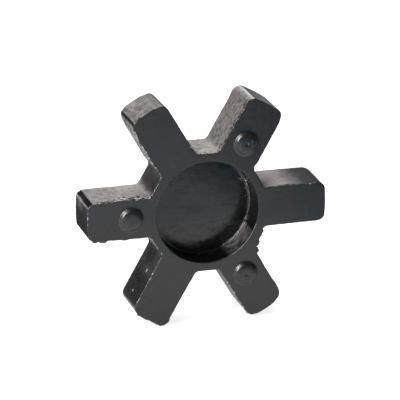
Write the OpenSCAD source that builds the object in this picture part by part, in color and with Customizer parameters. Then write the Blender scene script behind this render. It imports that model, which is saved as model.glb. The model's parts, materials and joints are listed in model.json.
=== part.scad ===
// One-piece elastomer spider of a jaw coupling: six straight legs round a
// hub that has a blind pocket on its front face. Low round buttons stand
// on every second leg, and the three on the back stand on the other legs.
// The spider stands on two of its legs, as it does on a bench. The
// coupling's axis is Y, the front face looks along -Y, and the first leg
// points along +X. Each sub-part is drawn lying flat and then stood up.
// Millimetres.

/* [Star] */
// Distance from the axis to the end of a leg
leg_reach = 26.8; // [25:0.1:30]
// Width of a leg where it leaves the hub
leg_root_w = 8.9; // [8:0.1:10]
// Width of a leg at its end
leg_tip_w = 8.7; // [7.5:0.1:9]
// Distance from the axis to the floor of a gap between two legs
gap_floor = 13.4; // [13:0.1:14]
// Thickness between the front face and the back face
star_t = 10.9; // [9:0.1:14]
// Radius of the upright corners at a leg's end
tip_r = 1.4; // [0.5:0.1:2]
// Radius in the inner corners of a gap
root_r = 1.2; // [0.5:0.1:1.6]

/* [Centre pocket] */
// Diameter of the pocket in the front face
pocket_d = 22.8; // [18:0.1:23.2]
// Depth of the pocket, which leaves a solid web behind it
pocket_depth = 6; // [3:0.1:7]

/* [Spacer buttons] */
// Diameter of a button
button_d = 5.2; // [4:0.1:6]
// Height of a button above its face
button_h = 0.95; // [0.5:0.05:1.5]
// Radius round the top edge of a button
button_edge_r = 0.45; // [0.2:0.05:0.45]
// Distance from the axis to the middle of a button
button_reach = 17.1; // [16:0.1:19]

/* [Smoothness] */
// Segments round a circle
segments = 96; // [48:12:144]

/* [Hidden] */
$fn = segments;

LEGS = 6;
PITCH = 360 / LEGS;
HALF_PITCH = PITCH / 2;
RUBBER = [0.23, 0.23, 0.24];
// Overlap that joins a button to its face, and lets the pocket's cutter clear its mouth
SINK = 0.3;

// A flank follows y = root_y + slope * x in its own leg's frame.
slope = (leg_tip_w - leg_root_w) / 2 / (leg_reach - gap_floor);
root_y = leg_root_w / 2 - slope * gap_floor;
flank_len = sqrt(1 + slope * slope);
flank_out = [-slope, 1] / flank_len;
floor_out = [cos(HALF_PITCH), sin(HALF_PITCH)];

// Centre of the round at a leg's end
tip_x = leg_reach - tip_r;
tip_c = [tip_x, root_y + slope * tip_x - tip_r * flank_len];

// Centre of the round between a flank and the gap's floor
root_rise = root_y + root_r * flank_len;
root_x = (gap_floor + root_r - root_rise * floor_out[1]) / (floor_out[0] + slope * floor_out[1]);
root_c = [root_x, root_rise + slope * root_x];

// Lays its child on both flanks of a leg that lies along X.
module both_flanks() {
    children();
    mirror([0, 1]) children();
}

// Lays its child on every leg, from the first in steps of so many legs.
module on_legs(first = 0, step = 1) {
    for (leg = [first : step : LEGS - 1]) rotate(leg * PITCH) children();
}

// Upper half of a leg, with a round corner at its end
module half_leg() {
    flank_end = tip_c + tip_r * flank_out;
    polygon([
        [0, 0],
        [leg_reach, 0],
        [leg_reach, tip_c[1]],
        flank_end,
        [0, root_y]
    ]);
    translate(tip_c) circle(r = tip_r);
}

// Web that fills the corner between a flank and the gap's floor
module root_round() {
    difference() {
        polygon([
            root_c - 2 * root_r * (flank_out + floor_out),
            root_c - root_r * flank_out,
            root_c,
            root_c - root_r * floor_out
        ]);
        translate(root_c) circle(r = root_r);
    }
}

// Outline of the star: a six-sided hub whose flats are the gaps' floors, and the legs
module star_outline() {
    circle(r = gap_floor / cos(HALF_PITCH), $fn = LEGS);
    on_legs() both_flanks() {
        half_leg();
        root_round();
    }
}

// Low round button that stands on the plane z = 0, with its foot sunk below it
module button() {
    flat_r = button_d / 2 - button_edge_r;
    rotate_extrude() {
        translate([0, -SINK]) square([flat_r, button_h + SINK]);
        translate([0, -SINK]) square([button_d / 2, button_h - button_edge_r + SINK]);
        translate([flat_r, button_h - button_edge_r]) circle(r = button_edge_r);
    }
}

// Three buttons on the front face, on every second leg from the given one
module face_buttons(first) {
    on_legs(first, 2) translate([button_reach, 0, star_t / 2]) button();
}

// Stands its child up: what looked along +Z looks along -Y.
module stand_up() {
    rotate([90, 0, 0]) children();
}

module spider() {
    color(RUBBER) stand_up() {
        difference() {
            linear_extrude(height = star_t, center = true) star_outline();
            translate([0, 0, star_t / 2 - pocket_depth])
                cylinder(d = pocket_d, h = pocket_depth + SINK);
        }
        face_buttons(first = 1);
        mirror([0, 0, 1]) face_buttons(first = 0);
    }
}

spider();
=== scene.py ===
"""Studio picture of the elastomer spider of a jaw coupling, standing on a pale floor.

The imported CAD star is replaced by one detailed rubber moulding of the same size.
It is laid out in millimetres: u runs along +X, h along +Z, and w out of the front face
along -Y. Legs are numbered from 0, counter-clockwise, from the one on +X.
"""
import json
import math

import bpy
import numpy as np
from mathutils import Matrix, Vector, geometry, noise


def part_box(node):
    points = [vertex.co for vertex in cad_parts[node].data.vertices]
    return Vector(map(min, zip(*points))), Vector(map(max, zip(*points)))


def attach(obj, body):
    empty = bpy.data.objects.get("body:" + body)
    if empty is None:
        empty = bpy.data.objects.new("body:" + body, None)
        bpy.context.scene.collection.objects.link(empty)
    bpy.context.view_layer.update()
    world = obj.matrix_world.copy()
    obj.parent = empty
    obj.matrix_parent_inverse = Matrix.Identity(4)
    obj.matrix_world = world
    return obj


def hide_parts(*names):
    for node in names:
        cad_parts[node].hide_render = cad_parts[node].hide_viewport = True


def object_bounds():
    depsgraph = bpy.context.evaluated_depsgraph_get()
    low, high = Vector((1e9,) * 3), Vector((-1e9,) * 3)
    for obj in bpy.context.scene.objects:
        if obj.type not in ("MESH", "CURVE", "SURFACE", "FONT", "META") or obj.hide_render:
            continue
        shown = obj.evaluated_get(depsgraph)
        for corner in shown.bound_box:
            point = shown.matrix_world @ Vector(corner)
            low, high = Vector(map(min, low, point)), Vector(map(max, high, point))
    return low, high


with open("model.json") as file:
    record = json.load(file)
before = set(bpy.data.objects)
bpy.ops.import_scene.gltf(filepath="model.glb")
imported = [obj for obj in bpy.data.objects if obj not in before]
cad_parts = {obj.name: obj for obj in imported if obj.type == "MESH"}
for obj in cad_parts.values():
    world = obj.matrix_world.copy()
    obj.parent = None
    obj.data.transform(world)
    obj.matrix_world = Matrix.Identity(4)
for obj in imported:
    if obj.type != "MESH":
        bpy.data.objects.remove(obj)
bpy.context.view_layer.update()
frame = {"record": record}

MM = 0.001

# ---------------------------------------------------------------- sizes, in millimetres
mounts = {m["name"]: m for m in frame["record"]["mounts"]}
_, box_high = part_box("spider")
REACH = box_high.x / MM
HALF_T = -mounts["front_face"]["pos_m"][1] / MM
BUTTON_TOP = box_high.y / MM
BUTTON_REACH = mounts["back_buttons"]["pos_m"][0] / MM
POCKET_R = mounts["centre_pocket"]["dims"]["r_mm"]
POCKET_DEPTH = mounts["centre_pocket"]["dims"]["length_mm"]
flank_at = np.array(mounts["flank_a_ccw"]["pos_m"]) / MM
flank_way = mounts["flank_a_ccw"]["axis"]
SLOPE = -flank_way[0] / flank_way[2]
ROOT_HALF = flank_at[2] - SLOPE * flank_at[0]
# The frame doesn't give these four; they are as in the CAD design
GAP_FLOOR = 13.4
TIP_R = 1.4
ROOT_R = 1.2
BUTTON_R = 2.6
LEGS = 6
PITCH = math.tau / LEGS
FRONT_BUTTON_LEGS = (1, 3, 5)
BACK_BUTTON_LEGS = (0, 2, 4)

# ---------------------------------------------------------------- camera
CAM_AZIMUTH = math.radians(-16.56)
CAM_ELEVATION = math.radians(18.56)
CAM_DISTANCE = 0.536
CAM_LENS = 222.2
CAM_SENSOR = 36.0
CAM_CLIP_FROM = 0.01
CAM_AIM = Vector((-0.00019, 0.0, 0.00113))


def add_camera():
    """Level camera that looks a little down on the front face, from its left."""
    away = Vector((math.sin(CAM_AZIMUTH) * math.cos(CAM_ELEVATION),
                   -math.cos(CAM_AZIMUTH) * math.cos(CAM_ELEVATION),
                   math.sin(CAM_ELEVATION)))
    data = bpy.data.cameras.new("camera")
    data.sensor_width = CAM_SENSOR
    data.lens = CAM_LENS
    data.clip_start = CAM_CLIP_FROM
    camera = bpy.data.objects.new("camera", data)
    camera.rotation_euler = away.to_track_quat("Z", "Y").to_euler()
    camera.location = CAM_AIM + away * CAM_DISTANCE
    bpy.context.scene.collection.objects.link(camera)
    bpy.context.scene.camera = camera


add_camera()


# ---------------------------------------------------------------- small helpers
def turn(points, angle):
    """Turns (u, h) points about the axis."""
    c, s = math.cos(angle), math.sin(angle)
    points = np.asarray(points, float)
    return np.stack([c * points[..., 0] - s * points[..., 1],
                     s * points[..., 0] + c * points[..., 1]], -1)


def smooth(x, low, high):
    """Smooth step from 0 at low to 1 at high."""
    t = np.clip((np.asarray(x, float) - low) / (high - low), 0.0, 1.0)
    return t * t * (3.0 - 2.0 * t)


def window(x, low, high, soft):
    """1 between low and high, falling to 0 over soft on each side."""
    return smooth(x, low - soft, low) * (1.0 - smooth(x, high, high + soft))


def lumps(points, size, seed):
    """Perlin noise, about -1 to 1, at each (u, h, w) point, with lumps of that size."""
    shift = Vector((seed * 17.3, seed * 5.1, seed * 9.7))
    return np.array([noise.noise(Vector(p) / size + shift) for p in points])


# ---------------------------------------------------------------- outline of the star
# Longest step along a straight part and round an arc, and the fewest steps of each
STEP, ARC_STEP = 0.28, 0.17
LEAST_STEPS, ARC_LEAST_STEPS = 2, 4
# Added before cutting to a whole number, so that a part of a step counts as one
ROUND_UP = 0.999


def line(a, b, out):
    """Points from a to b, each with the same outward normal."""
    n = max(LEAST_STEPS, int(math.dist(a, b) / STEP + ROUND_UP))
    t = np.linspace(0.0, 1.0, n + 1)[:, None]
    return np.array(a) * (1 - t) + np.array(b) * t, np.tile(out, (n + 1, 1))


def arc(centre, radius, start, end, sign):
    """Points round a centre; sign is 1 where the outline bulges and -1 where it is hollow."""
    n = max(ARC_LEAST_STEPS, int(abs(end - start) * radius / ARC_STEP + ROUND_UP))
    angle = np.linspace(start, end, n + 1)
    ray = np.stack([np.cos(angle), np.sin(angle)], 1)
    return np.array(centre) + radius * ray, sign * ray


# The kinds of station, in the order in which half_leg() lays them
TIP, CORNER, FLANK, ROOT, GAP = range(5)


def half_leg():
    """Points and outward normals from the middle of a leg's end to the middle of a gap."""
    stretch = math.hypot(1.0, SLOPE)
    flank_out = np.array([-SLOPE, 1.0]) / stretch
    floor_angle = PITCH / 2
    floor_out = np.array([math.cos(floor_angle), math.sin(floor_angle)])
    tip_x = REACH - TIP_R
    tip_c = np.array([tip_x, ROOT_HALF + SLOPE * tip_x - TIP_R * stretch])
    rise = ROOT_HALF + ROOT_R * stretch
    root_x = (GAP_FLOOR + ROOT_R - rise * floor_out[1]) / (floor_out[0] + SLOPE * floor_out[1])
    root_c = np.array([root_x, rise + SLOPE * root_x])
    flank_angle = math.atan2(flank_out[1], flank_out[0])
    parts = [
        line((REACH, 0.0), (REACH, tip_c[1]), (1.0, 0.0)),
        arc(tip_c, TIP_R, 0.0, flank_angle, 1.0),
        line(tip_c + TIP_R * flank_out, root_c - ROOT_R * flank_out, flank_out),
        arc(root_c, ROOT_R, flank_angle - math.pi, floor_angle - math.pi, -1.0),
        line(root_c - ROOT_R * floor_out, GAP_FLOOR * floor_out, floor_out),
    ]
    points = np.concatenate([p[:-1] for p, _ in parts] + [parts[-1][0][-1:]])
    outs = np.concatenate([o[:-1] for _, o in parts] + [parts[-1][1][-1:]])
    kinds = np.concatenate([np.full(len(p) - 1, i) for i, (p, _) in enumerate(parts)] + [[GAP]])
    return points, outs, kinds


def outline():
    """Counter-clockwise stations round the star: place, outward normal, leg, side and kind."""
    points, outs, kinds = half_leg()
    mirror = np.array([1.0, -1.0])
    leg_p = np.concatenate([points[::-1] * mirror, points[1:-1]])
    leg_o = np.concatenate([outs[::-1] * mirror, outs[1:-1]])
    leg_k = np.concatenate([kinds[::-1], kinds[1:-1]])
    leg_s = np.where(np.arange(len(leg_k)) < len(kinds), -1, 1)
    return (np.concatenate([turn(leg_p, k * PITCH) for k in range(LEGS)]),
            np.concatenate([turn(leg_o, k * PITCH) for k in range(LEGS)]),
            np.repeat(np.arange(LEGS), len(leg_k)), np.tile(leg_s, LEGS), np.tile(leg_k, LEGS))


RIM, RIM_OUT, RIM_LEG, RIM_SIDE, RIM_KIND = outline()


# ---------------------------------------------------------------- flash, wear and painted highlights along the edges
# Ragged flash on the front edge: leg, range along it, range across it, height, grain, least share
FLASH = (
    (3, (13.0, 23.0), (-5.2, -4.0), 0.30, 0.45, 0.0),
    (3, (26.0, 27.0), (-3.6, 3.6), 0.12, 0.70, 0.0),
    (3, (24.9, 25.5), (3.6, 5.2), 0.34, 1.10, 0.8),
    (3, (22.8, 23.9), (3.9, 5.2), 0.44, 0.90, 0.8),
    (3, (13.5, 21.0), (3.9, 5.2), 0.12, 1.60, 0.2),
    (3, (18.0, 19.0), (3.9, 5.2), 0.26, 0.90, 0.8),
    (2, (12.5, 24.0), (3.9, 5.2), 0.22, 0.60, 0.0),
    (2, (26.0, 27.2), (1.7, 2.6), 0.22, 0.40, 0.4),
    (1, (13.0, 25.5), (3.9, 5.4), 0.34, 0.55, 0.0),
    (0, (11.4, 12.6), (-7.8, -5.2), 0.62, 0.90, 0.55),
    (0, (9.7, 11.6), (-10.3, -7.4), 0.98, 0.80, 0.70),
    (0, (13.5, 25.0), (3.9, 5.2), 0.12, 0.60, 0.0),
    (4, (13.5, 25.5), (-5.2, -4.0), 0.16, 0.55, 0.0),
    (4, (26.2, 27.2), (-2.9, 3.2), 0.40, 1.10, 0.35),
    (5, (13.0, 25.5), (-5.2, -4.0), 0.20, 0.90, 0.0),
    (5, (14.0, 25.0), (3.9, 5.2), 0.12, 2.20, 0.3),
)
FLASH_SOFT = 0.5
# Raggedness of the flash: its middle value, then how far coarse and fine noise move it
FLASH_MIDDLE, FLASH_COARSE, FLASH_FINE = 0.55, 0.9, 0.35
# How many times finer the fine noise is than the coarse
FLASH_FINER = 2.7
# Where in the noise the first row of the table starts, for each of the two
FLASH_SEED, FLASH_FINE_SEED = 3, 40

# Where the moulding is fuller than the nominal star: leg, range along, range across, front, back
SWELLS = (
    (0, (14.5, 27.0), (4.0, 5.2), 0.10, 0.48),
    (1, (24.6, 27.2), (-5.0, 5.4), 0.00, 0.17),
    (1, (14.5, 24.0), (-5.4, -4.0), 0.22, 0.22),
    (2, (15.0, 23.0), (4.0, 5.4), 0.28, 0.14),
    (2, (26.2, 27.2), (-1.6, 2.2), 0.25, 0.25),
    (4, (26.0, 27.2), (-2.6, 3.4), 0.12, 0.00),
    (4, (25.6, 26.6), (3.5, 4.6), 0.34, 0.20),
    (5, (26.0, 27.2), (-2.2, 2.0), 0.36, 0.30),
    (5, (23.0, 25.2), (3.5, 5.0), 0.12, 0.10),
)
# How softly a swell ends along its leg and across it
SWELL_SOFT, SWELL_SOFT_ACROSS = 1.2, 1.0
# How softly flash and pale edges end across their leg
SOFT_ACROSS = 0.12


def in_box(leg, along, across, soft, soft_across=SOFT_ACROSS):
    """How far each station is inside a box laid out along one leg."""
    at = turn(RIM, -leg * PITCH)
    return window(at[:, 0], *along, soft) * window(at[:, 1], *across, soft_across)


def flash_height():
    """How far the flash stands out at each station of the outline."""
    height = np.zeros(len(RIM))
    for row, (leg, along, across, tall, grain, least) in enumerate(FLASH):
        here = in_box(leg, along, across, FLASH_SOFT)
        picked = np.nonzero(here > 0)[0]
        deep = np.column_stack([RIM[picked], np.zeros(len(picked))])
        ragged = (FLASH_MIDDLE + FLASH_COARSE * lumps(deep, grain, row + FLASH_SEED)
                  + FLASH_FINE * lumps(deep, grain / FLASH_FINER, row + FLASH_FINE_SEED))
        ragged = least + (1 - least) * np.clip(ragged, 0.0, 1.0)
        height[picked] = np.maximum(height[picked], tall * here[picked] * ragged)
    return height


def swelling():
    """How far the wall stands out at the front and at the back of each station."""
    front, back = np.zeros(len(RIM)), np.zeros(len(RIM))
    for leg, along, across, at_front, at_back in SWELLS:
        here = in_box(leg, along, across, SWELL_SOFT, SWELL_SOFT_ACROSS)
        front, back = front + at_front * here, back + at_back * here
    return front, back


# Painted highlight, a pale line along the front edge: leg, range along, range across, amount
EDGE_HIGHLIGHTS = (
    (3, (26.0, 27.2), (-3.4, 3.9), 0.13),
    (3, (26.0, 27.2), (-1.4, -0.8), 0.60),
    (3, (13.0, 16.0), (-5.2, -4.0), 0.36),
    (3, (16.0, 24.5), (-5.2, -4.0), 0.24),
    (3, (10.2, 13.4), (4.3, 10.8), 0.16),
    (2, (10.2, 13.4), (4.3, 10.8), 0.17),
    (4, (13.5, 25.8), (-5.2, -4.0), 0.19),
    (4, (8.5, 13.4), (-10.8, -4.3), 0.22),
    (1, (13.0, 24.0), (3.9, 5.4), 0.05),
    (1, (10.2, 13.4), (4.3, 10.8), 0.20),
    (2, (12.5, 17.0), (3.9, 5.2), 0.26),
    (2, (17.0, 25.0), (3.9, 5.2), 0.50),
    (5, (13.0, 25.5), (-5.2, -4.0), 0.30),
    (0, (13.5, 24.0), (3.9, 5.2), 0.12),
)
# Marks on the walls: look, leg, range along, across and out of the middle plane, softness, amount.
# film adds to the film or takes from it; the rest is the share covered with specks or the gloss,
# whose near-black colour paints shade.
MARKS = (
    ("film", 3, (12.5, 17.0), (-5.4, -4.0), (-6.0, 6.0), 4.0, 0.45),
    ("flaked", 3, (20.5, 25.0), (-5.2, -4.0), (4.7, 5.7), 0.3, 0.60),
    ("flaked", 3, (13.4, 20.5), (-5.2, -4.0), (2.9, 5.7), 0.6, 0.46),
    ("scuff", 3, (13.2, 20.0), (-5.2, -4.0), (3.4, 5.4), 0.7, 0.36),
    ("flaked", 3, (14.0, 23.5), (-5.4, -4.0), (-5.0, 2.5), 0.8, 0.06),
    ("film", 3, (26.0, 27.4), (-3.4, -1.8), (-6.0, 0.0), 1.6, 0.36),
    # Gloss on leg 3's end, whose near-black colour paints shade there
    ("gloss", 3, (26.0, 27.4), (-0.2, 4.0), (-6.0, 4.0), 1.2, 0.9),
    # Painted highlight: the bright strip on leg 2's counter-clockwise flank, laid as film and
    # scuff
    ("film", 2, (15.0, 25.6), (3.9, 5.4), (-6.0, 6.0), 1.0, 0.95),
    ("scuff", 2, (16.2, 23.6), (3.9, 5.4), (-6.0, 6.0), 1.6, 0.34),
    ("film", 2, (26.0, 27.4), (0.2, 2.4), (-6.0, 6.0), 0.7, 0.20),
    ("film", 4, (13.5, 17.0), (-5.4, -4.0), (-6.0, 6.0), 3.0, 0.12),
    ("scuff", 4, (17.7, 18.2), (-5.4, -4.0), (1.4, 1.8), 0.25, 0.85),
    ("scuff", 4, (18.2, 18.6), (-5.4, -4.0), (1.9, 2.2), 0.2, 0.75),
    ("scuff", 4, (23.2, 23.5), (-5.4, -4.0), (-0.2, 0.3), 0.2, 0.48),
    # Painted shade on leg 4's clockwise flank, which lies under leg 3
    ("gloss", 4, (20.5, 24.6), (-5.4, -4.0), (-2.5, 4.8), 2.6, 0.7),
    # Painted highlight: a bright streak on the hub between legs 3 and 4, laid as film and scuff
    ("film", 4, (8.6, 12.2), (-10.8, -6.4), (-1.5, 5.8), 1.4, 1.00),
    ("scuff", 4, (8.6, 11.2), (-10.8, -7.6), (0.5, 5.4), 0.9, 0.42),
    ("film", 1, (10.2, 14.5), (3.9, 10.8), (-6.0, 6.0), 1.0, 0.10),
    ("flaked", 1, (13.0, 25.0), (3.9, 5.4), (4.4, 5.7), 0.4, 0.56),
    ("flaked", 1, (10.2, 14.0), (4.3, 10.8), (4.6, 5.7), 0.3, 0.32),
    ("flaked", 0, (14.0, 24.0), (3.9, 5.2), (4.7, 5.7), 0.3, 0.58),
    ("flaked", 0, (13.5, 22.0), (3.9, 5.2), (-5.8, -4.9), 0.3, 0.48),
    ("film", 0, (12.5, 16.5), (3.9, 5.4), (-6.0, 6.0), 2.5, 0.45),
    ("film", 1, (12.5, 17.5), (3.9, 5.4), (-6.0, 6.0), 3.0, 0.12),
    ("film", 5, (13.5, 24.0), (-5.2, -4.0), (-6.0, 6.0), 1.0, 0.30),
)
# A mark ends no more softly than this across its leg
MARK_SOFT_MOST = 0.8
# Marks softer than this are uneven, other than gloss
UNEVEN_FROM = 0.45
# How an uneven mark varies: middle value, spread, size of its lumps, most, place in the noise
UNEVEN_MIDDLE, UNEVEN_SPREAD, UNEVEN_SIZE, UNEVEN_MOST, UNEVEN_SEED = 0.9, 1.1, 1.9, 1.3, 55

# Pale film of dust and mould release: each leg's end, its two flanks and the gap after it
FILM = (
    # end, counter-clockwise flank, clockwise flank, gap
    (0.40, 1.18, 0.45, 0.45),
    (0.16, 0.66, 0.45, 0.98),
    (0.55, 0.30, 0.45, 0.16),
    (0.05, 0.45, 0.80, 0.20),
    (0.40, 0.45, 0.07, 0.45),
    (0.45, 0.45, 0.30, 0.45),
)
FILM_AT_CORNER = 0.15
FILM_BLUR = 5
# The first leg's top has less film towards its end: from and to along it, share of film lost
FILM_FADES_FROM, FILM_FADES_TO, FILM_FADE_SHARE = 15.5, 23.0, 0.99
# How the rounded corner between a flank and the end differs, by leg and side, where pale strips
# are painted highlights and glossy bands painted dark reflections: share of the way from the flank
# to the end, then film, scuff and gloss there
CORNER_PAINTED_LIGHT = {
    (3, -1): ((0.0, 1.0, 0.0, 0.0), (0.06, 0.0, 0.0, 1.0), (0.64, 0.0, 0.0, 1.0),
              (0.72, 0.85, 0.1, 0.0), (0.88, 0.85, 0.1, 0.0), (1.0, 0.15, 0.0, 0.2)),
    (3, 1): ((0.0, 0.0, 0.0, 0.5), (1.0, 0.0, 0.0, 0.5)),
    (2, 1): ((0.0, 0.5, 0.0, 0.0), (0.36, 0.25, 0.0, 0.0), (0.46, 0.0, 0.0, 1.0),
             (0.70, 0.0, 0.0, 1.0), (0.82, 0.70, 0.0, 0.0), (1.0, 0.70, 0.0, 0.0)),
    (2, -1): ((0.0, 0.40, 0.0, 0.0), (1.0, 0.50, 0.0, 0.0)),
    (1, 1): ((0.0, 0.62, 0.0, 0.0), (0.40, 0.80, 0.0, 0.0), (0.62, 1.3, 0.40, 0.0),
             (0.80, 1.4, 0.70, 0.0), (0.90, 0.1, 0.0, 0.4), (1.0, 0.05, 0.0, 0.4)),
    (4, -1): ((0.0, 0.05, 0.0, 0.5), (0.16, 0.10, 0.0, 0.3), (0.28, 0.85, 0.1, 0.0),
              (0.80, 0.85, 0.1, 0.0), (1.0, 0.3, 0.0, 0.0)),
}


def edge_highlight():
    """Amount of painted highlight along the front edge at each station."""
    edge_light = np.zeros(len(RIM))
    for leg, along, across, amount in EDGE_HIGHLIGHTS:
        edge_light = np.maximum(edge_light, amount * in_box(leg, along, across, FLASH_SOFT))
    return edge_light


def marked(look, w):
    """Amount of one look at each station of a ring, from the marks on the walls."""
    total = np.zeros(len(RIM))
    for name, leg, along, across, span, soft, amount in MARKS:
        if name == look:
            here = (amount * in_box(leg, along, across, soft, min(soft, MARK_SOFT_MOST))
                    * window(w, *span, soft))
            if soft > UNEVEN_FROM and name != "gloss":
                picked = np.nonzero(here)[0]
                deep = np.column_stack([RIM, np.broadcast_to(w, (len(RIM),))])[picked]
                uneven = UNEVEN_MIDDLE + UNEVEN_SPREAD * lumps(deep, UNEVEN_SIZE, UNEVEN_SEED)
                here[picked] *= np.clip(uneven, 0.0, UNEVEN_MOST)
            total = total + here if look == "film" else np.maximum(total, here)
    return total


def corner_painted_light():
    """Painted highlight strips (film and scuff) and painted dark bands (gloss) of each corner's
    stations, and which stations those are.
    """
    looks, there = np.zeros((len(RIM), 3)), np.zeros(len(RIM), bool)
    for (leg, side), stops in CORNER_PAINTED_LIGHT.items():
        picked = (RIM_LEG == leg) & (RIM_SIDE == side) & (RIM_KIND == CORNER)
        out = turn(RIM_OUT[picked], -leg * PITCH)
        share = 1 - np.arctan2(abs(out[:, 1]), out[:, 0]) / math.atan2(1.0, -SLOPE)
        at = [stop[0] for stop in stops]
        for column in range(3):
            looks[picked, column] = np.interp(share, at, [stop[column + 1] for stop in stops])
        there |= picked
    return looks, there


def film_round():
    """Amount of film at each station of the outline."""
    film = np.zeros(len(RIM))
    for i, (leg, side, kind) in enumerate(zip(RIM_LEG, RIM_SIDE, RIM_KIND)):
        end, ccw, cw, gap = FILM[leg]
        if kind == GAP:
            film[i] = gap if side > 0 else FILM[leg - 1][3]
        elif kind == TIP:
            film[i] = end
        elif kind == CORNER:
            film[i] = FILM_AT_CORNER * (end + (ccw if side > 0 else cw))
        else:
            film[i] = ccw if side > 0 else cw
    fading = (smooth(RIM[:, 0], FILM_FADES_FROM, FILM_FADES_TO)
              * (RIM_LEG == 0) * (RIM_SIDE > 0) * (RIM_KIND != TIP))
    film *= 1 - FILM_FADE_SHARE * fading
    blur = np.ones(FILM_BLUR) / FILM_BLUR
    wrapped = np.concatenate([film[-FILM_BLUR:], film, film[:FILM_BLUR]])
    return np.convolve(wrapped, blur, "same")[FILM_BLUR:-FILM_BLUR]


# ---------------------------------------------------------------- the skin, a closed mesh
# Film of dust that also paints highlights, share of it flaked off, share scuffed pale or painted
# as highlight, and clean gloss whose near-black colour paints shade
LOOKS = ("film", "flaked", "scuff", "gloss")


class Skin:
    """Vertices, their outward normals, faces and looks of the moulding."""

    def __init__(self):
        self.points, self.outs, self.faces = [], [], []
        self.looks = {name: [] for name in LOOKS}

    def add(self, points, outs, **looks):
        """Adds vertices and returns their numbers; a look that isn't given is 0."""
        first = len(self.points)
        self.points.extend(map(tuple, points))
        self.outs.extend(map(tuple, outs))
        for name, values in self.looks.items():
            values.extend(np.broadcast_to(looks.get(name, 0.0), (len(points),)).tolist())
        return np.arange(first, first + len(points))

    def band(self, ring_a, ring_b, flip=False):
        """Closed strip of quads between two rings of as many vertices."""
        for i in range(len(ring_a)):
            j = (i + 1) % len(ring_a)
            quad = [int(ring_a[i]), int(ring_a[j]), int(ring_b[j]), int(ring_b[i])]
            self.faces.append(quad[::-1] if flip else quad)

    def fan(self, ring, centre, flip=False):
        """Closes a ring with triangles that meet at one vertex."""
        for i in range(len(ring)):
            tri = [int(ring[i]), int(ring[(i + 1) % len(ring)]), int(centre)]
            self.faces.append(tri[::-1] if flip else tri)


# Steps round each rounded edge
EDGE_STEPS = 6
FRONT_EDGE_R = 0.26
BACK_EDGE_R = 0.40
# How the two edges' radii vary: share, size of the lumps, place in the noise
FRONT_EDGE_UNEVEN = (0.45, 1.3, 1)
BACK_EDGE_UNEVEN = (0.25, 2.1, 2)
FACE_INSETS = (1.0, 0.8, 0.62, 0.48)
WALL_STEPS = 30
# The rings of the wall crowd towards the front edge, where the detail is
WALL_CROWD = 1.45
# Share of the front edge that has lost its film
EDGE_BARE = 0.58
# Painted highlight at which the edge starts to keep its film, and at which it keeps all of it
EDGE_KEPT_FROM, EDGE_KEPT_TO = 0.2, 0.35
# Film along a highlighted edge, as a multiple of its painted highlight
EDGE_HIGHLIGHT_FILM = 1.2
# How much each point round the front edge moves out with the flash
FLASH_SHAPE = (0.0, 0.35, 0.9, 1.0, 0.9, 0.35, 0.0)


def offset_ring(inset):
    """The outline moved inwards; inset may differ from station to station."""
    return RIM - RIM_OUT * np.broadcast_to(inset, (len(RIM),))[:, None]


def uneven_radius(radius, points, spread, size, seed):
    """A radius that varies from point to point by up to that share."""
    return radius * (1.0 + spread * lumps(points, size, seed))


# How far a leg's end falls back at this distance from the leg's middle line
TIP_CROWN, TIP_CROWN_HALF = 0.22, 4.4
# Points nearer to a leg's middle line than this are its own
OWN_HALF = 6
# The crown starts this far inside the round at a leg's end
TIP_CROWN_INSIDE = 0.6
# It is complete this share of that round's radius short of the end
TIP_CROWN_SHARE = 0.4


def tip_crown():
    """How far the end of each leg falls back towards its corners."""
    drop = np.zeros(len(RIM))
    start = REACH - TIP_R - TIP_CROWN_INSIDE
    for k in range(LEGS):
        at = turn(RIM, -k * PITCH)
        there = (at[:, 0] > start) & (abs(at[:, 1]) < OWN_HALF)
        drop[there] = (TIP_CROWN * (at[there, 1] / TIP_CROWN_HALF) ** 2
                       * smooth(at[there, 0], start, REACH - TIP_CROWN_SHARE * TIP_R))
    return drop


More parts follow.
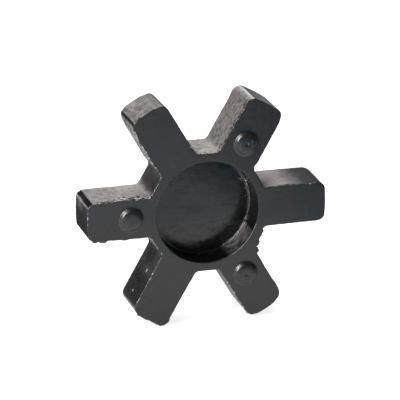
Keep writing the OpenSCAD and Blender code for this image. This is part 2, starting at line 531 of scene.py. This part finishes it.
def wall(skin):
    """The star's side wall with both its rounded edges; returns its first and last rings."""
    flat = np.column_stack([RIM, np.zeros(len(RIM))])
    front_r = uneven_radius(FRONT_EDGE_R, flat, *FRONT_EDGE_UNEVEN)
    back_r = uneven_radius(BACK_EDGE_R, flat, *BACK_EDGE_UNEVEN)
    flash = flash_height()
    crown = tip_crown()
    swell_front, swell_back = swelling()
    film = film_round()
    edge_light = edge_highlight()
    corners, at_corner = corner_painted_light()
    # Painted highlights and dark reflections on the corners take the place of the film there
    film[at_corner] = corners[at_corner, 0]
    rings = []

    def ring(inset, w, tilt):
        """tilt runs from 0 on the front face through 1 on the wall to 2 on the back."""
        share = (1 - np.broadcast_to(w, (len(RIM),)) / HALF_T) / 2
        swell = swell_front * (1 - share) + swell_back * share
        fade = np.clip(1 - np.broadcast_to(inset, (len(RIM),)), 0.0, 1.0)
        uh = offset_ring(inset - swell * fade)
        lean = tilt * math.pi / 2
        outs = np.column_stack([RIM_OUT * math.sin(lean), np.full(len(RIM), math.cos(lean))])
        points = np.column_stack([uh, np.broadcast_to(w, (len(RIM),))])
        on_wall = math.sin(lean) ** 2
        # Scuff and film here include painted highlights, on the corners and along the front edge
        scuff = np.maximum(marked("scuff", w), corners[:, 1]) * on_wall
        if tilt < 1.0:
            scuff = np.maximum(scuff, edge_light * math.sin(2 * lean) ** 0.5)
        pale_cover = np.maximum(film + marked("film", w), 0.0) * on_wall
        if tilt < 1.0:
            pale_cover = np.maximum(pale_cover, EDGE_HIGHLIGHT_FILM * edge_light * math.sin(2 * lean))
        bare = marked("flaked", w)
        if 0.0 < tilt < 1.0:
            kept = smooth(edge_light, EDGE_KEPT_FROM, EDGE_KEPT_TO)
            bare = np.maximum(bare, EDGE_BARE * (1 - kept))
        rings.append(skin.add(points, outs, film=pale_cover, flaked=bare, scuff=scuff,
                              gloss=np.maximum(marked("gloss", w), corners[:, 2]) * on_wall))

    for inset in FACE_INSETS:
        ring(inset + crown * (1.0 - inset), HALF_T, 0.0)
    for i in range(EDGE_STEPS + 1):
        lean = i / EDGE_STEPS * math.pi / 2
        ring(front_r * (1 - math.sin(lean)) + crown - flash * FLASH_SHAPE[i],
             HALF_T - front_r * (1 - math.cos(lean)), i / EDGE_STEPS)
    front_w, back_w = HALF_T - front_r, -HALF_T + back_r
    for i in range(1, WALL_STEPS):
        t = (i / WALL_STEPS) ** WALL_CROWD
        ring(crown, front_w * (1 - t) + back_w * t, 1.0)
    for i in range(EDGE_STEPS + 1):
        lean = (1 - i / EDGE_STEPS) * math.pi / 2
        ring(back_r * (1 - math.sin(lean)) + crown,
             -HALF_T + back_r * (1 - math.cos(lean)), 1 + i / EDGE_STEPS)
    for inset in FACE_INSETS[::-1]:
        ring(inset + crown * (1.0 - inset), -HALF_T, 2.0)
    for a, b in zip(rings, rings[1:]):
        skin.band(a, b, flip=True)
    return rings[0], rings[-1]


# Rings of a button as (radius as a share of its foot, height as a share of the whole)
BUTTON_RINGS = (
    (1.20, 0.0), (1.12, 0.010), (1.06, 0.035), (1.02, 0.08), (0.99, 0.15), (0.965, 0.24),
    (0.94, 0.34), (0.91, 0.45), (0.87, 0.565), (0.82, 0.675), (0.755, 0.78), (0.68, 0.86),
    (0.59, 0.92), (0.49, 0.96), (0.40, 0.985), (0.32, 0.996), (0.26, 1.0), (0.20, 0.995),
    (0.15, 0.975), (0.11, 0.92), (0.08, 0.84), (0.04, 0.80),
)
BUTTON_SIDES = 60
# Gloss on a button's side, whose near-black colour paints the dark reflection of its crescent
BUTTON_GLOSS_SHADE = 0.22
# Where that gloss and painted dark reflection is, as shares of the foot's radius: from, to,
# softness
BUTTON_GLOSS_SHADE_AT = (0.72, 0.93, 0.10)
# Painted reflection, a pale arc laid as film round the lower left of a button's foot: its amount,
# where it is as shares of the foot's radius, and where it is in degrees, each as from, to and
# softness
FOOT_REFLECTION = 0.11
FOOT_REFLECTION_AT = (0.90, 1.08, 0.05)
FOOT_REFLECTION_ROUND = (175.0, 290.0, 25.0)
# Painted reflections, upright pale strokes laid as film on a front button: leg, place across it,
# from and to in height, amount
BUTTON_REFLECTION_STROKES = (
    (1, 1.15, -0.4, 0.8, 0.34),
    (1, 1.95, -0.9, 0.1, 0.26),
    (1, -1.50, -1.0, 0.4, 0.20),
)
# How softly a stroke ends sideways and at its tips
STROKE_SOFT, STROKE_TIP_SOFT = 0.18, 0.3
# Depth of the gate pit in a button's middle, on each leg, as a share of the rings' depth
PIT = (0.9, 1.0, 0.9, 0.12, 0.9, 0.9)
# The pit is inside this share of the foot's radius
PIT_FROM = 0.26
# How much deeper the middle of the pit is than its last ring, as a share of the height
PIT_MIDDLE = 0.01


def button(skin, leg, side):
    """A low domed button with a small gate pit; side is 1 in front and -1 behind.

    Returns the ring at its foot, its centre and that ring's radius.
    """
    centre = turn([BUTTON_REACH, 0.0], leg * PITCH)
    angle = np.arange(BUTTON_SIDES) / BUTTON_SIDES * math.tau
    ray = np.stack([np.cos(angle), np.sin(angle)], 1)
    tall = BUTTON_TOP - HALF_T
    rings = []
    for share, up in BUTTON_RINGS:
        if share < PIT_FROM:
            up = 1 - PIT[leg] * (1 - up)
        uh = centre + ray * BUTTON_R * share
        points = np.column_stack([uh, np.full(BUTTON_SIDES, side * (HALF_T + tall * up))])
        # The gloss paints a dark reflection in near-black; the pale arc and strokes are painted
        # reflections laid as film
        gloss = BUTTON_GLOSS_SHADE * float(window(share, *BUTTON_GLOSS_SHADE_AT))
        pale_cover = (FOOT_REFLECTION * window(share, *FOOT_REFLECTION_AT)
                * window(np.degrees(angle), *FOOT_REFLECTION_ROUND))
        offset = points[:, :2] - centre
        for marked_leg, across, low, high, amount in BUTTON_REFLECTION_STROKES:
            if marked_leg == leg and side > 0:
                stroke = (amount * window(offset[:, 0], across, across, STROKE_SOFT)
                           * window(offset[:, 1], low, high, STROKE_TIP_SOFT))
                pale_cover = np.maximum(pale_cover, stroke)
        rings.append(skin.add(points, np.tile((0.0, 0.0, side), (BUTTON_SIDES, 1)),
                              film=pale_cover, gloss=gloss))
    for a, b in zip(rings, rings[1:]):
        skin.band(a, b, flip=side < 0)
    middle = skin.add([(*centre, side * (HALF_T + tall * (up - PIT_MIDDLE)))], [(0.0, 0.0, side)])
    skin.fan(rings[-1], middle[0], flip=side < 0)
    return rings[0], centre, BUTTON_R * BUTTON_RINGS[0][0]


POCKET_SIDES = 210
POCKET_RIM_R = 0.22
POCKET_FOOT_R = 0.40
POCKET_WALL_STEPS = 18
FLOOR_RINGS = 30
# Gloss on the pocket's floor, whose near-black colour paints the shade in the recess
POCKET_GLOSS_SHADE = 0.9
# How much higher the middle of the pocket's floor is than its edge
FLOOR_CROWN = 0.34
# Flash in the corner of the pocket's floor: from and to in degrees, height, grain, least share
POCKET_FLASH = (
    (8.0, 36.0, 0.30, 0.40, 0.0),
    (-24.0, 8.0, 0.16, 1.30, 0.35),
    (-62.0, -29.0, 0.14, 1.8, 0.6),
    (100.0, 200.0, 0.10, 1.2, 0.0),
)
POCKET_FLASH_SOFT = 3.0
# Raggedness of that flash: middle value, spread, place in the noise of its first row
POCKET_FLASH_MIDDLE, POCKET_FLASH_SPREAD, POCKET_FLASH_SEED = 0.3, 1.6, 60
# It is tallest at this ring of the foot and fades over this many rings
POCKET_FLASH_RING, POCKET_FLASH_RINGS = 4.0, 1.1
# How far it reaches inwards, as a share of its height
POCKET_FLASH_IN = 0.5
# Pale lines in the pocket, mostly painted highlights along the flash at the foot of the wall,
# partly dust: look, from and to in degrees, from and to in rings from the foot of the wall, amount
POCKET_MARKS = (
    ("film", -22.0, 12.0, 4, 4, 0.46),
    ("scuff", -22.0, 9.0, 4, 4, 0.08),
    ("scuff", 8.0, 34.0, 3, 5, 0.24),
    ("film", 8.0, 34.0, 3, 6, 0.22),
    ("scuff", 4.0, 30.0, 6, 8, 0.09),
    ("film", -62.0, -30.0, 4, 4, 0.70),
    ("scuff", -62.0, -30.0, 4, 4, 0.14),
    ("film", -31.5, -27.0, -3, 5, 0.75),
)
POCKET_MARK_SOFT = 1.5
# Pale patch on the pocket's wall, in degrees; it starts softly and ends sharply
PATCH_FROM, PATCH_TO, PATCH_SOFT, PATCH_SHARP = -60.0, -27.5, 4.0, 0.5
# Film on the patch: at the top of the wall, and how much more at its foot
PATCH_FILM, PATCH_FILM_MORE = 0.22, 0.40
# Blotches in the patch: spread, size, place in the noise
PATCH_BLOTCH, PATCH_BLOTCH_SIZE, PATCH_BLOTCH_SEED = 1.6, 1.3, 71
# Share of the wall's gloss and painted shade that the patch takes away
PATCH_DULL = 0.8
# Painted highlight on the pocket's rim, laid as film: from, to and softness in degrees, amount
POCKET_RIM_HIGHLIGHT_AT, POCKET_RIM_HIGHLIGHT = (-62.0, -22.0, 6.0), 0.65
# How the rim's radius varies: share, size of the lumps, place in the noise
POCKET_RIM_UNEVEN = (0.4, 1.6, 5)
# Flat rings round the pocket's mouth, by their distance from its wall
POCKET_LIPS = (0.9, 0.65)


def pocket(skin):
    """The blind pocket, from a ring on the front face down to the middle of its floor.

    Returns the ring on the face, its centre and its radius.
    """
    angle = np.arange(POCKET_SIDES) / POCKET_SIDES * math.tau
    degrees = (np.degrees(angle) + 180.0) % 360.0 - 180.0
    ray = np.stack([np.cos(angle), np.sin(angle)], 1)
    floor_w = HALF_T - POCKET_DEPTH
    rings = []

    def ring(radius, w, out_r, out_w, foot=None, **looks):
        """foot counts rings from the foot of the wall: below 0 up the wall, above 0 inwards."""
        points = np.column_stack([ray * np.broadcast_to(radius, (POCKET_SIDES,))[:, None],
                                  np.broadcast_to(w, (POCKET_SIDES,))])
        outs = np.column_stack([ray * out_r, np.full(POCKET_SIDES, out_w)])
        for name, start, end, low, high, amount in POCKET_MARKS:
            if foot is not None and low <= foot <= high:
                here = amount * window(degrees, start, end, POCKET_MARK_SOFT)
                looks[name] = np.maximum(looks.get(name, 0.0), here)
        rings.append(skin.add(points, outs, **looks))

    flat = np.column_stack([ray * POCKET_R, np.zeros(POCKET_SIDES)])
    rim_r = uneven_radius(POCKET_RIM_R, flat, *POCKET_RIM_UNEVEN)
    patch = (smooth(degrees, PATCH_FROM - 2 * PATCH_SOFT, PATCH_FROM + PATCH_SOFT)
             * (1 - smooth(degrees, PATCH_TO - PATCH_SHARP, PATCH_TO + PATCH_SHARP)))
    ragged = np.zeros(POCKET_SIDES)
    for row, (start, end, tall, grain, least) in enumerate(POCKET_FLASH):
        rough = (POCKET_FLASH_MIDDLE
                 + POCKET_FLASH_SPREAD * lumps(flat, grain, row + POCKET_FLASH_SEED))
        share = least + (1 - least) * np.clip(rough, 0.0, 1.0)
        ragged = np.maximum(ragged, tall * share * window(degrees, start, end, POCKET_FLASH_SOFT))
    rim_highlight = POCKET_RIM_HIGHLIGHT * window(degrees, *POCKET_RIM_HIGHLIGHT_AT)
    for gap in POCKET_LIPS:
        ring(POCKET_R + gap, HALF_T, 0.0, 1.0)
    for i in range(EDGE_STEPS + 1):
        lean = i / EDGE_STEPS * math.pi / 2
        ring(POCKET_R + rim_r * (1 - math.sin(lean)), HALF_T - rim_r * (1 - math.cos(lean)),
             -math.sin(lean), math.cos(lean), film=rim_highlight * math.sin(2 * lean))
    top, foot = HALF_T - rim_r, floor_w + POCKET_FOOT_R
    # The pocket's wall and foot are glossy, and their near-black colour paints the shade in the
    # recess
    for i in range(1, POCKET_WALL_STEPS):
        t = i / POCKET_WALL_STEPS
        w = top * (1 - t) + foot * t
        deep = np.column_stack([ray * POCKET_R, np.full(POCKET_SIDES, w)])
        blotches = PATCH_BLOTCH * lumps(deep, PATCH_BLOTCH_SIZE, PATCH_BLOTCH_SEED)
        ring(POCKET_R, w, -1.0, 0.0, i - POCKET_WALL_STEPS,
             film=patch * (PATCH_FILM + PATCH_FILM_MORE * t) * (1 + blotches),
             gloss=1 - PATCH_DULL * patch)
    for i in range(EDGE_STEPS + 1):
        lean = i / EDGE_STEPS * math.pi / 2
        bump = ragged * math.exp(-((i - POCKET_FLASH_RING) / POCKET_FLASH_RINGS) ** 2)
        ring(POCKET_R - POCKET_FOOT_R * (1 - math.cos(lean)) - POCKET_FLASH_IN * bump,
             floor_w + POCKET_FOOT_R * (1 - math.sin(lean)) + bump,
             -math.cos(lean), math.sin(lean), i, gloss=1.0)
    inner = POCKET_R - POCKET_FOOT_R
    for i in range(1, FLOOR_RINGS):
        out = 1 - i / FLOOR_RINGS
        ring(inner * out, floor_w + FLOOR_CROWN * (1 - out ** 2), 0.0, 1.0, EDGE_STEPS + i,
             gloss=POCKET_GLOSS_SHADE)
    for a, b in zip(rings, rings[1:]):
        skin.band(a, b)
    middle = skin.add([(0.0, 0.0, floor_w + FLOOR_CROWN)], [(0.0, 0.0, 1.0)], gloss=POCKET_GLOSS_SHADE)
    skin.fan(rings[-1], middle[0])
    return rings[0], np.zeros(2), POCKET_R + POCKET_LIPS[0]


# Spacing of the points inside a flat face, and their least distance from its borders
GRID = 0.42
GRID_GAP = 0.30
# Points closer than this become one
WELD = 1e-6


def face(skin, border, holes, side):
    """Fills a flat face between its border ring and its holes with even triangles."""
    loops = [border] + [ring for ring, _, _ in holes]
    known = np.concatenate(loops)
    points = np.array([skin.points[i][:2] for i in known])
    rows = np.arange(-REACH, REACH, GRID * math.sqrt(3) / 2)
    grid = np.array([(x + (r % 2) * GRID / 2, y) for r, y in enumerate(rows)
                     for x in np.arange(-REACH, REACH, GRID)])
    # Well inside the straight parts of the outline, in a leg or in the hub
    inside = np.zeros(len(grid), bool)
    margin = FACE_INSETS[0] + GRID_GAP
    for k in range(LEGS):
        at = turn(grid, -k * PITCH)
        half = ROOT_HALF + SLOPE * at[:, 0]
        inside |= ((at[:, 0] >= 0) & (at[:, 0] < REACH - margin)
                   & (abs(at[:, 1]) < half - margin))
    hub = np.ones(len(grid), bool)
    for k in range(LEGS):
        at = turn(grid, -(k + 0.5) * PITCH)
        hub &= at[:, 0] < GAP_FLOOR - margin
    keep = inside | hub
    for _, centre, radius in holes:
        keep &= np.hypot(*(grid - centre).T) > radius + GRID_GAP
    # The rounds at a gap's corners and at a leg's end come closer than the straight parts
    near = np.array([min(1.0, float(np.min(np.hypot(*(points[:len(border)] - g).T)) / GRID_GAP))
                     for g in grid])
    keep &= near >= 1.0
    grid = grid[keep]
    verts = [Vector(p) for p in np.concatenate([points, grid])]
    edges, at = [], 0
    for loop in loops:
        n = len(loop)
        edges += [(at + i, at + (i + 1) % n) for i in range(n)]
        at += n
    _, _, tris, origin, _, _ = geometry.delaunay_2d_cdt(verts, edges, [], 1, WELD)
    fresh = skin.add(np.column_stack([grid, np.full(len(grid), side * HALF_T)]),
                     np.tile((0.0, 0.0, side), (len(grid), 1)))
    names = np.concatenate([known, fresh])
    # Which loop each vertex is on, or -1 for none. A triangle with all its corners on one hole's
    # ring lies in the hole, and is left out
    owner = np.full(len(names), -1)
    at = 0
    for number, loop in enumerate(loops):
        owner[at:at + len(loop)] = number
        at += len(loop)
    for tri in tris:
        ids = [origin[v][0] for v in tri]
        rims = {int(owner[i]) for i in ids}
        if len(rims) == 1 and rims.pop() > 0:
            continue
        ids = [int(names[i]) for i in ids]
        skin.faces.append(ids if side > 0 else ids[::-1])


# ---------------------------------------------------------------- relief of the moulded surface
# Depth of each layer of relief, size of its lumps, place in the noise
RELIEF = ((0.035, 5.5, 11), (0.012, 1.4, 12), (0.004, 0.5, 13))


def relieve(skin):
    """Moves every vertex inwards a little, so that no face or wall is dead flat."""
    points = np.array(skin.points)
    outs = np.array(skin.outs)
    depth = sum(deep * (1 + lumps(points, size, seed)) for deep, size, seed in RELIEF)
    return points - outs * depth[:, None]


def build_spider():
    """The whole moulding as one object, with its looks stored on its vertices."""
    skin = Skin()
    front, back = wall(skin)
    front_holes = [button(skin, leg, 1) for leg in FRONT_BUTTON_LEGS] + [pocket(skin)]
    back_holes = [button(skin, leg, -1) for leg in BACK_BUTTON_LEGS]
    face(skin, front, front_holes, 1)
    face(skin, back, back_holes, -1)
    points = relieve(skin)
    mesh = bpy.data.meshes.new("spider_rubber")
    mesh.from_pydata([(u * MM, -w * MM, h * MM) for u, h, w in points], [], skin.faces)
    mesh.validate()
    mesh.polygons.foreach_set("use_smooth", [True] * len(mesh.polygons))
    for name in LOOKS:
        look = mesh.attributes.new(name, "FLOAT", "POINT")
        look.data.foreach_set("value", skin.looks[name])
    piece = bpy.data.objects.new("spider_rubber", mesh)
    bpy.context.scene.collection.objects.link(piece)
    return piece


spider = build_spider()


# ---------------------------------------------------------------- materials
class Tree:
    """Short ways to add nodes. A value is a number, a colour or another node's output."""

    def __init__(self, tree):
        self.nodes, self.links = tree.nodes, tree.links

    def add(self, kind, **values):
        """A new node with those properties."""
        made = self.nodes.new(kind)
        for name, value in values.items():
            setattr(made, name, value)
        return made

    def put(self, value, socket):
        """Links an output to the socket, or sets the socket to a plain value."""
        if isinstance(value, bpy.types.NodeSocket):
            self.links.new(value, socket)
        else:
            socket.default_value = value

    def maths(self, operation, *values):
        """The result of one operation on numbers."""
        made = self.add("ShaderNodeMath", operation=operation)
        for socket, value in zip(made.inputs, values):
            self.put(value, socket)
        return made.outputs[0]

    def mix(self, share, a, b):
        """Colour a, turning into colour b as the share rises to 1."""
        made = self.add("ShaderNodeMix", data_type="RGBA")
        # A mix node has its sockets for each type of value in turn; these are the ones for colours
        for socket, value in zip((made.inputs[0], made.inputs[6], made.inputs[7]), (share, a, b)):
            self.put(value, socket)
        return made.outputs[2]

    def ramp(self, value, low, high, to_low, to_high):
        """Smooth step from to_low at low to to_high at high."""
        made = self.add("ShaderNodeMapRange", interpolation_type="SMOOTHSTEP")
        for key, number in zip(("Value", "From Min", "From Max", "To Min", "To Max"),
                               (value, low, high, to_low, to_high)):
            self.put(number, made.inputs[key])
        return made.outputs["Result"]


# Noises in the rubber: lumps per millimetre, detail, roughness
BLOTCH = (0.22, 3.0, 0.55)
MOTTLE = (1.1, 5.0, 0.55)
CHIPS = (1.25, 2.0, 0.55)
PALE_SPECKS = (1.9, 2.0, 0.55)
GRAIN = (5.0, 4.0, 0.65)
SMEARS = (0.9, 4.0, 0.6)
# The smears are drawn out along X
SMEAR_STRETCH = (0.3, 1.0, 1.3)

# The rubber's two blotches, its mottling and the near-black painted shade of its glossy areas,
# then the film and the scuffs on it, which also paint highlights
BLOTCH_COLOURS = ((0.0150, 0.0138, 0.0146, 1), (0.0182, 0.0176, 0.0184, 1))
MOTTLE_COLOUR = (0.0235, 0.0232, 0.0245, 1)
PAINTED_SHADE_COLOUR = (0.004, 0.004, 0.0045, 1)
FILM_AND_HIGHLIGHT_COLOUR = (0.275, 0.258, 0.250, 1)
SCUFF_AND_HIGHLIGHT_COLOUR = (0.50, 0.50, 0.50, 1)

# Ramps over a noise: from and to in the noise, then the result at each
BLOTCH_SHARE = (0.3, 0.7, 0.0, 1.0)
MOTTLE_SHARE = (0.35, 0.7, 0.0, 0.6)
FILM_BY_MOTTLE = (0.3, 0.62, 0.45, 1.0)
FILM_BY_GRAIN = (0.3, 0.6, 0.7, 1.0)
ROUGH_BY_MOTTLE = (0.3, 0.7, 0.28, 0.38)
ROUGH_BY_SMEARS = (0.42, 0.68, 0.0, 0.17)
# Ramps that cut a noise into specks: how it shifts their share, and how sharp they are
SPECK_SHIFT = (0.3, 0.7, -0.45, 0.45)
SPECK_EDGE = (0.44, 0.56, 0.0, 1.0)

# Roughness that gloss takes off and that film adds
GLOSS_SMOOTHER, FILM_ROUGHER = 0.17, 0.35
RUBBER_IOR, RUBBER_SPECULAR = 1.5, 0.5
# Fine grain of the surface: how strong it is, and its depth in millimetres
BUMP_STRENGTH, BUMP_DEPTH = 0.25, 0.03


def rubber_material():
    """Black rubber under a pale film, worn where the looks stored on the mesh say; the looks also
    paint highlights in pale and shade in near-black.
    """
    material = bpy.data.materials.new("rubber")
    material.use_nodes = True
    tree = Tree(material.node_tree)
    shader = tree.nodes["Principled BSDF"]
    place = tree.add("ShaderNodeTexCoord").outputs["Object"]

    def noise_at(lumps_per_mm, detail, rough, stretch=None):
        """Noise over the part, longer along an axis whose stretch is below 1."""
        at = place
        if stretch:
            mapping = tree.add("ShaderNodeMapping")
            mapping.inputs["Scale"].default_value = stretch
            tree.put(place, mapping.inputs["Vector"])
            at = mapping.outputs["Vector"]
        made = tree.add("ShaderNodeTexNoise")
        for key, value in (("Vector", at), ("Scale", lumps_per_mm / MM),
                           ("Detail", detail), ("Roughness", rough)):
            tree.put(value, made.inputs[key])
        return made.outputs["Fac"]

    def look(name):
        """One of the looks stored on the mesh."""
        return tree.add("ShaderNodeAttribute", attribute_name=name).outputs["Fac"]

    def specks(share, texture):
        """Sharp specks of a noise that cover more of the surface as the share rises to 1."""
        return tree.ramp(tree.maths("ADD", share, tree.ramp(texture, *SPECK_SHIFT)), *SPECK_EDGE)

    mottle, grain = noise_at(*MOTTLE), noise_at(*GRAIN)
    film, gloss = look("film"), look("gloss")
    dark = tree.mix(tree.ramp(noise_at(*BLOTCH), *BLOTCH_SHARE), *BLOTCH_COLOURS)
    dark = tree.mix(tree.ramp(mottle, *MOTTLE_SHARE), dark, MOTTLE_COLOUR)
    # Painted shade: where the mesh marks gloss the colour turns near-black, for shade in the
    # pocket and dark reflections on corners and buttons
    dark = tree.mix(gloss, dark, PAINTED_SHADE_COLOUR)
    # The film also paints highlights: strips on corners, lines along edges and in the pocket, arcs
    # and strokes on buttons
    pale_share = tree.maths("MULTIPLY", film, tree.ramp(mottle, *FILM_BY_MOTTLE))
    pale_share = tree.maths("MULTIPLY", pale_share, tree.ramp(grain, *FILM_BY_GRAIN))
    left = tree.maths("SUBTRACT", 1.0, specks(look("flaked"), noise_at(*CHIPS)))
    pale_share = tree.maths("MULTIPLY", pale_share, left)
    colour = tree.mix(pale_share, dark, FILM_AND_HIGHLIGHT_COLOUR)
    # Pale specks of scuff, which also paint highlights on edges, corners and flanks
    colour = tree.mix(specks(look("scuff"), noise_at(*PALE_SPECKS)), colour, SCUFF_AND_HIGHLIGHT_COLOUR)
    tree.put(colour, shader.inputs["Base Color"])

    smears = tree.ramp(noise_at(*SMEARS, SMEAR_STRETCH), *ROUGH_BY_SMEARS)
    rough = tree.ramp(mottle, *ROUGH_BY_MOTTLE)
    rough = tree.maths("SUBTRACT", rough, tree.maths("MULTIPLY", gloss, GLOSS_SMOOTHER))
    rough = tree.maths("ADD", rough, tree.maths("MULTIPLY", pale_share, FILM_ROUGHER))
    rough = tree.maths("ADD", rough, tree.maths("MULTIPLY", gloss, smears))
    tree.put(rough, shader.inputs["Roughness"])
    shader.inputs["IOR"].default_value = RUBBER_IOR
    shader.inputs["Specular IOR Level"].default_value = RUBBER_SPECULAR

    fine = tree.add("ShaderNodeBump")
    fine.inputs["Strength"].default_value = BUMP_STRENGTH
    fine.inputs["Distance"].default_value = BUMP_DEPTH * MM
    tree.put(grain, fine.inputs["Height"])
    tree.put(fine.outputs["Normal"], shader.inputs["Normal"])
    return material


FLOOR_COLOUR = (0.45, 0.45, 0.45, 1)
FLOOR_ROUGH, FLOOR_SPECULAR = 0.9, 0.1
FLOOR_GLOW, FLOOR_GLOW_COLOUR = 0.82, (1, 1, 1, 1)
# Dark cloths that only reflections see. Each row runs from one place to another, in metres, and
# gives the share of the floor that is cloth at each: along X in front of the part and behind it,
# and along Y well in front of the part
CLOTH_FRONT = (0.025, 0.061, 0.0, 0.95)
CLOTH_BEHIND = (-0.02, 0.03, 0.95, 0.35)
CLOTH_FAR = (-0.07, -0.04, 0.25, 0.0)
# Added to X for each metre along Y where the front cloth is placed, so that its border slants
CLOTH_SLANT = -0.05
# Where the cloths in front give way to those behind, along Y, and their colours
CLOTH_TURN = (-0.01, 0.02)
CLOTH_TINTS = ((0.0, 0.15, 0.24, 1), (0.0, 0.0, 0.0, 1))


def floor_material():
    """Pale table that glows a little; its reflections are dimmed, as by cloths round the part."""
    material = bpy.data.materials.new("floor")
    material.use_nodes = True
    tree = Tree(material.node_tree)
    shader = tree.nodes["Principled BSDF"]
    for key, value in (("Base Color", FLOOR_COLOUR), ("Roughness", FLOOR_ROUGH),
                       ("Specular IOR Level", FLOOR_SPECULAR),
                       ("Emission Color", FLOOR_GLOW_COLOUR), ("Emission Strength", FLOOR_GLOW)):
        shader.inputs[key].default_value = value
    place = tree.add("ShaderNodeSeparateXYZ")
    tree.put(tree.add("ShaderNodeTexCoord").outputs["Object"], place.inputs["Vector"])
    x, y = place.outputs["X"], place.outputs["Y"]

    cloth = tree.add("ShaderNodeBsdfDiffuse")
    tree.put(tree.mix(tree.ramp(y, *CLOTH_TURN, 0.0, 1.0), *CLOTH_TINTS), cloth.inputs["Color"])
    beside = tree.ramp(tree.maths("MULTIPLY_ADD", y, CLOTH_SLANT, x), *CLOTH_FRONT)
    front = tree.maths("MAXIMUM", beside, tree.ramp(y, *CLOTH_FAR))
    cover = tree.ramp(y, *CLOTH_TURN, front, tree.ramp(x, *CLOTH_BEHIND))

    reflected = tree.add("ShaderNodeLightPath").outputs["Is Glossy Ray"]
    blend = tree.add("ShaderNodeMixShader")
    tree.put(tree.maths("MULTIPLY", reflected, cover), blend.inputs["Fac"])
    tree.put(shader.outputs["BSDF"], blend.inputs[1])
    tree.put(cloth.outputs["BSDF"], blend.inputs[2])
    tree.put(blend.outputs["Shader"], tree.nodes["Material Output"].inputs["Surface"])
    return material


spider.data.materials.append(rubber_material())
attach(spider, "root")
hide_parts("spider")


# ---------------------------------------------------------------- floor and light
FLOOR_HALF = 3.0
# Name, place, what it points at, its two sizes, power, and whether it adds shine only
LIGHTS = (
    ("overhead", (0.0, 0.36, 0.60), (0.0, 0.36, 0.0), (0.40, 0.70), 7.0, False),
    ("key", (-0.43, -0.27, 0.40), (0.0, 0.0, 0.0), (0.22, 0.22), 2.2, False),
    ("glint", (-0.46, -0.27, 0.34), (0.0, 0.0, 0.0), (0.30, 0.50), 8.5, True),
)
# Strength of the backdrop as the camera sees it and as it lights the part
WORLD_SEEN, WORLD_LIGHT = 0.95, 0.06
WORLD_COLOUR = (0.98, 0.99, 1.0, 1)


def add_floor():
    """Square table, as high as the lowest point of the part."""
    mesh = bpy.data.meshes.new("floor")
    corners = [(-FLOOR_HALF, -FLOOR_HALF), (FLOOR_HALF, -FLOOR_HALF),
               (FLOOR_HALF, FLOOR_HALF), (-FLOOR_HALF, FLOOR_HALF)]
    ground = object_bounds()[0][2]
    mesh.from_pydata([(x, y, ground) for x, y in corners], [], [(0, 1, 2, 3)])
    mesh.materials.append(floor_material())
    floor = bpy.data.objects.new("floor", mesh)
    bpy.context.scene.collection.objects.link(floor)


def add_light(name, place, target, size, power, shine_only):
    """Rectangular lamp that points at the target."""
    data = bpy.data.lights.new(name, "AREA")
    data.shape = "RECTANGLE"
    data.size, data.size_y = size
    data.energy = power
    light = bpy.data.objects.new(name, data)
    light.location = place
    away = Vector(place) - Vector(target)
    light.rotation_euler = away.to_track_quat("Z", "Y").to_euler()
    light.visible_diffuse = not shine_only
    bpy.context.scene.collection.objects.link(light)


def add_world():
    """Pale backdrop above the table, which lights the part only dimly."""
    world = bpy.data.worlds.new("studio")
    bpy.context.scene.world = world
    world.use_nodes = True
    tree = Tree(world.node_tree)
    background = tree.nodes["Background"]
    strength = tree.add("ShaderNodeMapRange")
    strength.inputs["To Min"].default_value = WORLD_LIGHT
    strength.inputs["To Max"].default_value = WORLD_SEEN
    tree.put(tree.add("ShaderNodeLightPath").outputs["Is Camera Ray"], strength.inputs["Value"])
    tree.put(strength.outputs["Result"], background.inputs["Strength"])
    background.inputs["Color"].default_value = WORLD_COLOUR


add_floor()
for row in LIGHTS:
    add_light(*row)
add_world()
bpy.context.scene.view_settings.view_transform = "Standard"
